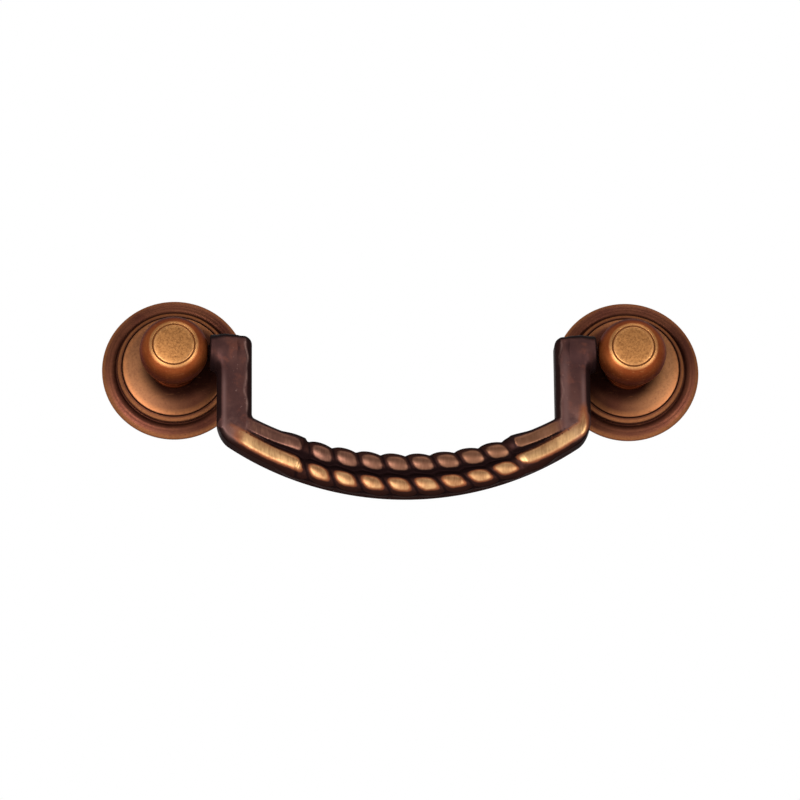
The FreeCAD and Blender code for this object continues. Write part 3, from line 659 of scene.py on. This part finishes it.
def rope_wear(key, x, z, front):
    """Where one rope is rubbed, and where a painted highlight lies on its plain strands; front is 1 for a
    point that faces it.
    """
    rope = ROPES[key]
    lean = strand_terms(rope)[1]
    places = strand_places(rope)
    pitch = math.radians(rope["pitch"]) * rope["core"]
    angle, _, up = along_rope(x, z, rope)
    wide, tall, lift = PATCH[key]
    patch = np.zeros(len(x))
    for place in places[1:-1]:
        s = (angle - place) * rope["core"] + lean * up * 0.9
        along = np.abs(s / (wide * pitch))
        across = np.abs((up - lift) / (tall * rope["height"]))
        patch = np.maximum(patch, fade(np.cbrt(along ** 3 + across ** 3), 1.25, 0.75))
    first = ((places[0] + places[1]) / 2 - angle) * rope["core"] - up * lean
    last = (angle - (places[-1] + places[-2]) / 2) * rope["core"] + up * lean
    left_start, right_start, tall, lift = PLAIN[key]
    plain = np.maximum(first - left_start, last - right_start)
    size = np.hypot(fade(plain, 1.4, 0), (up - lift) / (tall * rope["height"]))
    band = fade(size, 1.3, 0.65) * (plain > 0)
    if key == "upper":
        patch = patch * fade(front, 0.5, 0.8)
        band = band * fade(front, 0.72, 0.92)
    # the second number is the painted highlight along the middle of the plain strands
    return np.maximum(patch, band) * fade(front, 0.25, 0.6), band * bell(up, lift - 0.3, 0.75)


def bail_wear(points, normal):
    """Where the patina is rubbed through, lies dark in the hollows, and carries painted shade, sheen and
    highlights, for each point of the bail.
    """
    x, z = points[:, 0], points[:, 2]
    out = -points[:, 1] - PIVOT
    side = np.abs(x)
    left = x < 0
    front = -normal[:, 1]
    off, swing, past = along_valley(x, z)

    # the gold of the lower rope runs on round the elbows, higher up the right arm than the left one
    upper, _ = rope_wear("upper", x, z, front)
    lower, painted_highlight = rope_wear("lower", x, z, front)
    skirt = np.where(left, fade(side, 37.2, 32.7), fade(side, 39.0, 37.4))
    climb = bell(side, 37.35, 1.05) * fade(z, -10.5, -15.5) * fade(z, -19.5, -17.0) * ~left
    rub = np.maximum(lower * skirt, climb * fade(front, 0.25, 0.6))

    # patina and painted shade lie along the valley and in the hollows of the ropes
    width = 0.25 + 0.95 * fade(past, 0, -RUN_OUT) ** 0.7
    ditch = fade(off / width, 1.25, 0.25) * fade(past, 0, -4.5) * (out > 0)
    hollow = fade(closeness(points, normal), 0, 0.2)
    hollow = np.where(out > 1.2, hollow * fade(swing, 20.2, 18.6), hollow)
    # painted shade darkens the sides and tops of the arms, a little their upper ends, and under the bosses
    flanks = fade(np.abs(normal[:, 0]), 0.06, 0.48) * 0.5
    tops = fade(normal[:, 2], 0.3, 0.7) * 0.6
    below = np.where(side > ARM_OUTER - 0.3, np.clip(0.16 - normal[:, 2] * 0.6, 0, 0.6), 0)
    crown = fade(z, -4, 2) * 0.16
    arms = np.maximum.reduce([flanks, tops, below, crown]) * fade(z, -23, -19)
    valley_tip = (past > -5) & (past < 4) & (off < 2.2) & (out > 2.2)
    dark = np.maximum(np.where(valley_tip, 0, np.maximum(hollow, arms)), ditch)

    # painted shade darkens the underside of the grip and what lies between its strands
    edge_height = np.hypot(x, z - BASE_CENTRE) - BASE_CURVE + 1.25
    below_grip = np.clip(np.maximum(edge_height / 0.9, -normal[:, 2] * 1.4 - 0.35), 0, 1)
    between = fade(swing, 22.5, 20.5) * 0.8
    under = np.maximum(below_grip, between) * fade(z, -15, -18)

    # a thin wavy light line, wear with a painted highlight, runs along the inner edge of each arm, and a
    # painted highlight makes a soft spot above each elbow
    wave = 0.25 * np.sin(z * 0.55) + 0.14 * np.sin(z * 1.3 + 1)
    line = bell(side, ARM_INNER + 1.2 + wave, 0.17) * fade(z, -19, -16) * fade(z, 2.2, 1.2)
    line = line * np.where(left, 1, 0.4)
    spot = 0.6 * bell(side, 35.9, 1.5) * bell(z, -16.5, 3.2)

    # a painted sheen lies along the outer edges of the arms and the inner edge of the right one
    outer = bell(side, ARM_OUTER - 1.6, 0.4) * fade(z, -4, -8) * 0.7
    inner = bell(side, ARM_INNER + 2.0, 0.8) * fade(z, 0, -4) * ~left * 0.55
    return {
        "rub": rub,
        "painted_highlight": painted_highlight * skirt * 0.6,
        "dull": upper * fade(side, 34.2, 30.2),
        "dark": dark,
        "averted": np.clip(0.35 - 2.2 * front, 0, 1),
        "under": under,
        "tint": fade(x, -30, 30),
        "edge": np.maximum(line, spot) * fade(out, 2.4, 3.4),
        "painted_sheen": np.maximum(outer, inner) * fade(z, -27, -24) * fade(out, 2.2, 3.2),
    }


def bail():
    """The handle as one cast skin, with the places where the patina is rubbed through."""
    step = GRID
    points, quads = skin(bail_field, GRID_LOW, GRID_HIGH, step)
    points = settle(bail_field, points, step)
    thing = put("bail_dressed", points, quads)
    grad = slope(bail_field, points)[1]
    normal = grad / np.maximum(np.linalg.norm(grad, axis=-1, keepdims=True), 1e-6)
    give(thing, bail_wear(points, normal))
    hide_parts("bail")
    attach(thing, "bail")
    return thing


# materials

def screen(colour):
    """A colour as seen on a screen, 0 to 255, in the renderer's own terms."""
    return tuple((c / 255) ** 2.2 for c in colour)


def new_material(name):
    """An empty material with one shader, its node tree and the shader."""
    made = bpy.data.materials.new(name)
    made.use_nodes = True
    tree = made.node_tree
    tree.nodes.clear()
    finish = tree.nodes.new("ShaderNodeOutputMaterial")
    shader = tree.nodes.new("ShaderNodeBsdfPrincipled")
    tree.links.new(shader.outputs["BSDF"], finish.inputs["Surface"])
    return made, tree, shader


class Nodes:
    """Short ways to add the nodes of one material."""

    def __init__(self, tree):
        self.tree = tree

    def link(self, source, target):
        self.tree.links.new(source, target)

    def attribute(self, name):
        node = self.tree.nodes.new("ShaderNodeAttribute")
        node.attribute_name = name
        return node.outputs["Fac"]

    def noise(self, scale, detail, rough, stretch=(1, 1, 1)):
        where = self.tree.nodes.new("ShaderNodeTexCoord")
        mapping = self.tree.nodes.new("ShaderNodeMapping")
        mapping.inputs["Scale"].default_value = stretch
        self.link(where.outputs["Object"], mapping.inputs["Vector"])
        node = self.tree.nodes.new("ShaderNodeTexNoise")
        node.inputs["Scale"].default_value = scale
        node.inputs["Detail"].default_value = detail
        node.inputs["Roughness"].default_value = rough
        self.link(mapping.outputs["Vector"], node.inputs["Vector"])
        return node.outputs["Fac"]

    def span(self, value, low, high, to_low=0.0, to_high=1.0):
        node = self.tree.nodes.new("ShaderNodeMapRange")
        node.interpolation_type = "SMOOTHSTEP"
        self.link(value, node.inputs["Value"])
        node.inputs["From Min"].default_value = low
        node.inputs["From Max"].default_value = high
        node.inputs["To Min"].default_value = to_low
        node.inputs["To Max"].default_value = to_high
        return node.outputs["Result"]

    def math(self, kind, a, b):
        node = self.tree.nodes.new("ShaderNodeMath")
        node.operation = kind
        for socket, value in zip(node.inputs, (a, b)):
            if isinstance(value, (int, float)):
                socket.default_value = value
            else:
                self.link(value, socket)
        return node.outputs[0]

    def mix(self, factor, a, b):
        node = self.tree.nodes.new("ShaderNodeMix")
        node.data_type = "RGBA"
        self.link(factor, node.inputs["Factor"])
        for socket, value in ((node.inputs["A"], a), (node.inputs["B"], b)):
            if isinstance(value, tuple):
                socket.default_value = (*screen(value), 1)
            else:
                self.link(value, socket)
        return node.outputs["Result"]

    def bump(self, height, strength, distance):
        node = self.tree.nodes.new("ShaderNodeBump")
        node.inputs["Strength"].default_value = strength
        node.inputs["Distance"].default_value = distance * MM
        self.link(height, node.inputs["Height"])
        return node.outputs["Normal"]


def copper(name, colours):
    """Antique copper plating: mottled, with painted shade in the recesses and on the shaded sides, and worn
    to gold where it stands proud, with a painted sheen and highlights.
    """
    made, tree, shader = new_material(name)
    n = Nodes(tree)
    cloud = n.noise(120, 4, 0.55)
    grain = n.noise(2600, 2, 0.6)
    speck = n.noise(2000, 3, 0.7)
    brush = n.noise(2200, 3, 0.6, (0.25, 1, 1))
    colour = n.mix(n.span(cloud, 0.35, 0.66), colours["body"], colours["warm"])
    # gold where the dome number is high: worn metal, with a painted sheen on the rosette domes
    worn_and_sheen = n.math("MULTIPLY", n.attribute("dome"), n.span(speck, 0.3, 0.6, 0.6, 0.95))
    colour = n.mix(worn_and_sheen, colour, colours["gold"])
    # crest colour on the light number: wear with painted highlights on the edges
    lit = n.math("MULTIPLY", n.attribute("light"), n.span(speck, 0.2, 0.7, 0.45, 0.9))
    colour = n.mix(lit, colour, colours["crest"])
    uneven = n.math("MULTIPLY", n.math("ADD", speck, -0.5), 0.25)
    # painted shade: recesses and shaded sides darken towards the recess colour
    shade = n.math("ADD", n.math("ADD", n.attribute("dark"), uneven), n.attribute("painted_shade"))
    colour = n.mix(n.span(shade, 0.05, 1.0), colour, colours["recess"])
    colour = n.mix(n.span(grain, 0.56, 0.78, 0.0, 0.35), colour, colours["recess"])
    colour = n.mix(n.span(brush, 0.56, 0.8, 0.0, 0.12), colour, colours["crest"])
    n.link(colour, shader.inputs["Base Color"])
    n.link(n.span(n.math("MAXIMUM", worn_and_sheen, lit), 0.1, 0.8, 0.65, 0.95), shader.inputs["Metallic"])
    shader.inputs["IOR"].default_value = 1.25
    shader.inputs["Specular Tint"].default_value = (0.5, 0.3, 0.2, 1)
    n.link(n.span(speck, 0.3, 0.75, 0.4, 0.54), shader.inputs["Roughness"])
    height = n.math("ADD", n.math("MULTIPLY", grain, 0.4), speck)
    n.link(n.bump(height, 0.22, 0.04), shader.inputs["Normal"])
    return made


def patina(name, colours):
    """Oil-rubbed dark patina, rubbed through to golden metal on the high places of the ropes, with painted
    shade, sheen and highlights.
    """
    made, tree, shader = new_material(name)
    n = Nodes(tree)
    cloud = n.noise(170, 5, 0.6)
    redness = n.noise(300, 4, 0.6)
    grain = n.noise(2400, 2, 0.6)
    speck = n.noise(1300, 2, 0.5)
    brush = n.noise(2600, 2, 0.5, (1, 0.3, 0.22))
    fringe = n.noise(900, 3, 0.6)

    # the dark coat, with a painted sheen on the arm edges, painted shade underneath and on the shaded sides,
    # and patina with painted shade in the hollows
    base = n.mix(n.span(cloud, 0.3, 0.7), colours["brown"], colours["lighter"])
    base = n.mix(n.span(redness, 0.5, 0.68, 0, 0.48), base, colours["reddish"])
    base = n.mix(n.span(speck, 0.68, 0.74, 0, 0.35), base, colours["speck"])
    base = n.mix(n.attribute("painted_sheen"), base, colours["painted_sheen"])
    base = n.mix(n.span(n.attribute("under"), 0, 1, 0, 0.92), base, colours["underside"])
    base = n.mix(n.span(n.attribute("dark"), 0.04, 0.6), base, colours["patina_and_shade"])

    # the metal under it: gold on the lower rope, duller on the upper one, with a painted highlight along the
    # plain strands
    gold = n.mix(n.span(brush, 0.3, 0.7), colours["gold"], colours["gold light"])
    gold = n.mix(n.span(cloud, 0.4, 0.7, 0, 0.55), gold, colours["gold pale"])
    painted_highlight = n.math("MULTIPLY", n.attribute("painted_highlight"), n.span(brush, 0.3, 0.66, 0.55, 1))
    gold = n.mix(painted_highlight, gold, colours["painted_highlight"])
    dull_metal = n.mix(n.attribute("tint"), colours["dull left"], colours["dull right"])
    dull_metal = n.mix(n.span(brush, 0.4, 0.75, 0, 0.3), dull_metal, colours["dull light"])

    # rubbed places have a ragged border, and those of the lower rope a warm halo
    ragged = n.math("MULTIPLY", n.math("ADD", fringe, -0.5), 0.4)
    rub = n.math("ADD", n.attribute("rub"), ragged)
    worn = n.span(n.math("ADD", n.attribute("dull"), ragged), 0.25, 0.85)
    rubbed = n.span(rub, 0.5, 1.1)
    colour = n.mix(worn, base, dull_metal)
    colour = n.mix(n.span(rub, 0.1, 0.6), colour, colours["halo"])
    colour = n.mix(rubbed, colour, gold)
    # a thin worn line along the arms, partly a painted highlight, with painted highlights above the elbows
    line = n.math("MULTIPLY", n.attribute("edge"), n.span(cloud, 0.38, 0.6, 0.05, 0.55))
    colour = n.mix(line, colour, colours["edge"])
    n.link(colour, shader.inputs["Base Color"])

    # bare metal shines; the back and the underside shine least
    bare = n.math("MAXIMUM", rubbed, worn)
    faces_front = n.span(n.attribute("averted"), 0, 1, 1, 0)
    n.link(n.math("MULTIPLY", n.span(bare, 0, 1, 0.4, 0.9), faces_front), shader.inputs["Metallic"])
    shader.inputs["IOR"].default_value = 1.1
    shader.inputs["Specular Tint"].default_value = (0.3, 0.2, 0.18, 1)
    rough = n.math("ADD", n.span(cloud, 0.3, 0.7, 0.4, 0.5), n.math("MULTIPLY", brush, 0.06))
    n.link(rough, shader.inputs["Roughness"])
    shaded = n.math("MAXIMUM", n.attribute("averted"), n.attribute("under"))
    n.link(n.span(shaded, 0.3, 1, 0.5, 0.08), shader.inputs["Specular IOR Level"])
    scratch = n.math("MULTIPLY", n.math("MULTIPLY", brush, 0.35), bare)
    height = n.math("ADD", n.math("MULTIPLY", grain, 0.3), scratch)
    n.link(n.bump(n.math("ADD", height, cloud), 0.25, 0.06), shader.inputs["Normal"])
    return made


# stage, light and camera

def floor():
    """A wide pale floor far below the hanging part."""
    signs = ((-1, -1), (1, -1), (1, 1), (-1, 1))
    points = [(a * FLOOR_REACH, b * FLOOR_REACH, FLOOR_LEVEL) for a, b in signs]
    thing = put("floor", points, [(0, 1, 2, 3)], smooth=False)
    made, _, shader = new_material("floor_pale")
    shader.inputs["Base Color"].default_value = FLOOR_COLOUR
    shader.inputs["Roughness"].default_value = 0.8
    thing.data.materials.append(made)


def sky():
    """White behind the part, grey on the camera's side, so that the metal has something to show."""
    world = bpy.data.worlds.new("studio")
    world.use_nodes = True
    tree = world.node_tree
    tree.nodes.clear()
    finish = tree.nodes.new("ShaderNodeOutputWorld")
    back = tree.nodes.new("ShaderNodeBackground")
    where = tree.nodes.new("ShaderNodeTexCoord")
    split = tree.nodes.new("ShaderNodeSeparateXYZ")
    ramp = tree.nodes.new("ShaderNodeValToRGB")
    tree.links.new(where.outputs["Generated"], split.inputs["Vector"])
    # the direction's Y, -1 to 1, becomes 0 to 1
    shift = tree.nodes.new("ShaderNodeMath")
    shift.operation = "MULTIPLY_ADD"
    shift.inputs[1].default_value = 0.5
    shift.inputs[2].default_value = 0.5
    tree.links.new(split.outputs["Y"], shift.inputs[0])
    tree.links.new(shift.outputs[0], ramp.inputs["Fac"])
    stops = ramp.color_ramp.elements
    stops[0].position = GREY_UNTIL
    stops[0].color = (GREY, GREY, GREY, 1)
    stops[1].position = WHITE_FROM
    stops[1].color = (1, 1, 1, 1)
    tree.links.new(ramp.outputs["Color"], back.inputs["Color"])
    tree.links.new(back.outputs["Background"], finish.inputs["Surface"])
    bpy.context.scene.world = world


def softbox(name, place, aim, width, height, power):
    """A rectangular lamp that faces a point."""
    lamp = bpy.data.lights.new(name, "AREA")
    lamp.shape = "RECTANGLE"
    lamp.size = width * MM
    lamp.size_y = height * MM
    lamp.energy = power
    thing = bpy.data.objects.new(name, lamp)
    thing.location = Vector(place) * MM
    thing.rotation_mode = "QUATERNION"
    thing.rotation_quaternion = (Vector(aim) - Vector(place)).to_track_quat("-Z", "Y")
    bpy.context.scene.collection.objects.link(thing)


def camera():
    """Looks up at the pull from a little below, as the photograph does."""
    azimuth, elevation, roll = (math.radians(a) for a in (AZIMUTH, ELEVATION, ROLL))
    level = Vector((math.sin(azimuth), -math.cos(azimuth), 0))
    back = level * math.cos(elevation) + Vector((0, 0, math.sin(elevation)))
    up = -level * math.sin(elevation) + Vector((0, 0, math.cos(elevation)))
    right = up.cross(back)
    rolled_right = right * math.cos(roll) + up * math.sin(roll)
    rolled_up = -right * math.sin(roll) + up * math.cos(roll)
    data = bpy.data.cameras.new("camera")
    data.sensor_width = SENSOR
    data.lens = SENSOR * FOCAL / PICTURE
    data.clip_start = NEAREST
    data.clip_end = FARTHEST
    thing = bpy.data.objects.new("camera", data)
    turn = Matrix((rolled_right, rolled_up, back)).transposed().to_4x4()
    thing.matrix_world = Matrix.Translation((Vector(CAMERA_AIM) + back * DISTANCE) * MM) @ turn
    bpy.context.scene.collection.objects.link(thing)
    bpy.context.scene.camera = thing


rosette_metal = copper("rosette_copper", ROSETTE_COLOURS)
post_metal = copper("post_copper", POST_COLOURS)
bail_metal = patina("bail_patina", PATINA_COLOURS)
for name, x in (("left", -POST_X), ("right", POST_X)):
    rosette("rosette_%s_dressed" % name, x).data.materials.append(rosette_metal)
    post("post_%s_dressed" % name, x).data.materials.append(post_metal)
bail().data.materials.append(bail_metal)

floor()
sky()
for name, light in LIGHTS.items():
    softbox(name, *light)
camera()
bpy.context.scene.view_settings.view_transform = "Standard"
